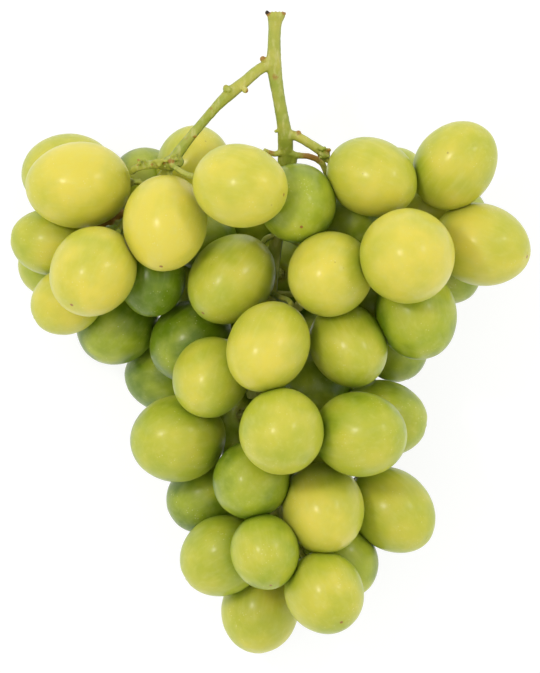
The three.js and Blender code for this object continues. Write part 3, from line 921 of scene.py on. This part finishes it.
# %% [markdown]
# ## Marks of growth
# Some berries carry brown flecks or one brown dot where the flower was, and each has a tan
# ring at the stalk. Each mark is mixed over the colour so far. Pieces of their own would
# stand out from the skin, and real marks don't.

# %% Marks of growth
FLECKS = 5.0         # mm between flecks
FLECK_FIELD = 11.11  # mm between the places that have flecks
FLOWER_SPOT = (0, 0, 0.985)      # on the master berry
STALK_SPOT = (0, 0, -0.95)


def marked(tree, place, on_berry, wax, base):
    """Adds flecks, the flower's dot and the ring at the stalk."""
    fleck = span(tree, from_points(tree, place, cells(FLECKS)), 0.045, 0.08, 1.0, 0.0)
    here = span(tree, noise(tree, place, cells(FLECK_FIELD)), 0.62, 0.68)
    fleck = maths(tree, "MULTIPLY", fleck, here)
    base = blend(tree, maths(tree, "MULTIPLY", fleck, 0.5), base, colour("8A6A2C"))
    dot = span(tree, from_spot(tree, on_berry, FLOWER_SPOT), 0.03, 0.055, 0.8, 0.0)
    dot = maths(tree, "MULTIPLY", dot, attribute(tree, "scarred"))
    base = blend(tree, dot, base, colour("9A4F2A"))
    ragged = span(tree, wax, 0.3, 0.7, -0.09, 0.09)
    ring = maths(tree, "ADD", from_spot(tree, on_berry, STALK_SPOT), ragged)
    return blend(tree, span(tree, ring, 0.16, 0.3, 0.5, 0.0), base, colour("A99F55"))


print("mm between flecks:", FLECKS)

# %% [markdown]
# ## Grape skin
# Real material: the living skin of a ripe white grape, thin and half clear over wet flesh,
# with a thin natural wax. The eye sees a soft glow where light comes through, blurred small
# lights on the wax, and a faint roughness. So the skin scatters light deeply, and a soft
# coat lies over it.

# %% Grape skin material
WAX = 3.03           # mm between thick and thin wax
SKIN_GRAIN = 0.6667  # mm between bumps, coarser than real, so that they show


def grape_skin():
    made, tree = new_material("grape_skin_waxy_satin")
    place = node(tree, "ShaderNodeTexCoord").outputs["Object"]
    on_berry = attribute(tree, "on_berry", "Vector")
    wax = noise(tree, place, cells(WAX), 4.0)
    base, raised = speckled(tree, place, flesh_colour(tree, place, on_berry))
    base = blend(tree, span(tree, wax, 0.5, 0.8, 0.0, 0.16), base, colour("D2D48E"))
    base = marked(tree, place, on_berry, wax, base)
    rough = maths(tree, "ADD", wax, noise(tree, place, cells(SKIN_GRAIN), 3.0))
    height = maths(tree, "ADD", rough, maths(tree, "MULTIPLY", raised, 0.8))
    bump = node(tree, "ShaderNodeBump", {"Strength": 0.22, "Distance": 0.1 * MM, "Height": height})
    shader = node(tree, "ShaderNodeBsdfPrincipled", {
        "Base Color": base,
        "Roughness": span(tree, wax, 0.3, 0.7, 0.34, 0.48),
        "IOR": 1.36,
        "Subsurface Weight": 0.85,
        "Subsurface Radius": (0.92, 0.88, 0.28),
        "Subsurface Scale": 5 * MM,
        "Coat Weight": 0.3,
        "Coat Roughness": 0.21,
        "Coat IOR": 1.45,
        "Normal": bump.outputs[0],
        "Coat Normal": bump.outputs[0],
    })
    node(tree, "ShaderNodeOutputMaterial", {"Surface": shader.outputs[0]})
    return made


skin_material = grape_skin()
print("skin nodes:", len(skin_material.node_tree.nodes))

# %% [markdown]
# ## Green stem
# Real material: a living green stalk, matt, with pale streaks along it and small pores.
# It is brown where it was cut or where buds fell off, has painted shade in deeper green
# along its sides, and lets a little light through. The collars are the same skin, browned more.

# %% Stem material
STREAKS = (1.613, 4.167, 1.613)      # mm between streaks along three axes
STEM_MOTTLE = 9.091
STEM_GRAIN = 0.6667
COLLAR_BROWNER = 0.25


def green_stem(name, browner):
    made, tree = new_material(name)
    place = node(tree, "ShaderNodeTexCoord").outputs["Object"]
    browned = attribute(tree, "browned")
    streak = noise(tree, stretched(tree, place, [cells(size) for size in STREAKS]), 1.0, 3.0)
    fine = noise(tree, place, cells(STEM_GRAIN), 3.0)
    mottle = span(tree, noise(tree, place, cells(STEM_MOTTLE)), 0.35, 0.65)
    base = blend(tree, mottle, colour("9AA638"), colour("BEBA50"))
    base = blend(tree, span(tree, streak, 0.52, 0.74, 0.0, 0.55), base, colour("D6D08E"))
    base = blend(tree, span(tree, fine, 0.62, 0.75, 0.0, 0.25), base, colour("8C7A3C"))
    # Painted shade: deeper green where the stem's skin faces sideways.
    side_shade = span(tree, attribute(tree, "side_shade"), 0.45, 1.0, 0.0, 0.72)
    base = blend(tree, side_shade, base, colour("557416"))
    edge = maths(tree, "ADD", browned, span(tree, fine, 0.3, 0.7, -0.2, 0.2))
    base = blend(tree, span(tree, edge, 0.25 - browner, 0.75 - browner), base, colour("A2782C"))
    # Near black past 1: the torn cut end, and the dried bits, whose black is painted shade.
    base = blend(tree, span(tree, browned, 1.0, 1.5), base, colour("2A1C10"))
    height = maths(tree, "ADD", streak, fine)
    bump = node(tree, "ShaderNodeBump", {"Strength": 0.35, "Distance": 0.15 * MM, "Height": height})
    shader = node(tree, "ShaderNodeBsdfPrincipled", {
        "Base Color": base,
        "Roughness": 0.55,
        "Subsurface Weight": 0.25,
        "Subsurface Radius": (1.0, 0.9, 0.3),
        "Subsurface Scale": 1.2 * MM,
        "Normal": bump.outputs[0],
    })
    node(tree, "ShaderNodeOutputMaterial", {"Surface": shader.outputs[0]})
    return made


stem_material = green_stem("green_stem_matt", 0.0)
collar_material = green_stem("green_collar_warty", COLLAR_BROWNER)
print("stem nodes:", len(stem_material.node_tree.nodes))

# %% [markdown]
# ## Putting the pieces in the frame
# Each berry stands for its cluster's solid, the skin and the collars stand for the stem's,
# and all of them ride on the one body of the bunch. The solids get the same materials.


def dress(piece, node_name, material):
    piece.data.materials.clear()
    piece.data.materials.append(material)
    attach(piece, "root")
    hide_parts(node_name)


for piece, name in pieces.items():
    dress(piece, name, skin_material)
for piece in collars:
    dress(piece, "stem", collar_material)
dress(stem, "stem", stem_material)
for name, solid in nodes.items():
    solid.data.materials.clear()
    solid.data.materials.append(stem_material if name == "stem" else skin_material)
print("pieces:", len(pieces) + len(collars) + 1)

# %% [markdown]
# ## The table
# The photograph's ground is pure white without shadows, so the bunch lies on a light
# table: a pale opal sheet, matt, that glows softly. A lit white board would show a shadow.

# %% Table
TABLE_WIDE = 6       # metres
TABLE_GLOW = 0.84

bpy.ops.mesh.primitive_plane_add(size=TABLE_WIDE)
table = bpy.context.object
table.name = "table"
white, tree = new_material("table_matt_white_opal_sheet")
board = node(tree, "ShaderNodeBsdfPrincipled", {
    "Base Color": colour("7F7F7E"), "Roughness": 0.9,
    "Emission Color": colour("FFFFFF"), "Emission Strength": TABLE_GLOW})
node(tree, "ShaderNodeOutputMaterial", {"Surface": board.outputs[0]})
table.data.materials.append(white)
print("table in metres:", TABLE_WIDE)

# %% [markdown]
# ## Light and background
# A white room lights the bunch evenly from above. One soft lamp stands at the upper left
# and a smaller one at the right: they make the two soft lights seen on each front berry.

# %% Lamps and room
LAMP_AWAY = 1.3      # metres
ROOM_LIGHT = 0.83


def lamp(name, towards, wide, watts, tint):
    light = bpy.data.lights.new(name, "AREA")
    light.shape = "DISK"
    light.size = wide
    light.energy = watts
    light.color = colour(tint)[:3]
    stand = bpy.data.objects.new(name, light)
    bpy.context.scene.collection.objects.link(stand)
    way = Vector(towards).normalized()
    stand.location = way * LAMP_AWAY
    stand.rotation_euler = way.to_track_quat("Z", "Y").to_euler()


lamp("key_softbox", (-0.40, 0.24, 0.885), 0.18, 4.1, "FFF8EA")
lamp("side_softbox", (0.60, 0.40, 0.69), 0.14, 1.6, "FFFDF6")

world = bpy.data.worlds.new("white_room")
world.use_nodes = True
world.node_tree.nodes.clear()
room = {"Color": colour("FFFFFF"), "Strength": ROOM_LIGHT}
sky = node(world.node_tree, "ShaderNodeBackground", room)
node(world.node_tree, "ShaderNodeOutputWorld", {"Surface": sky.outputs[0]})
bpy.context.scene.world = world
bpy.context.scene.view_settings.view_transform = "Standard"
bpy.context.scene.view_settings.look = "None"
print("room light:", ROOM_LIGHT)
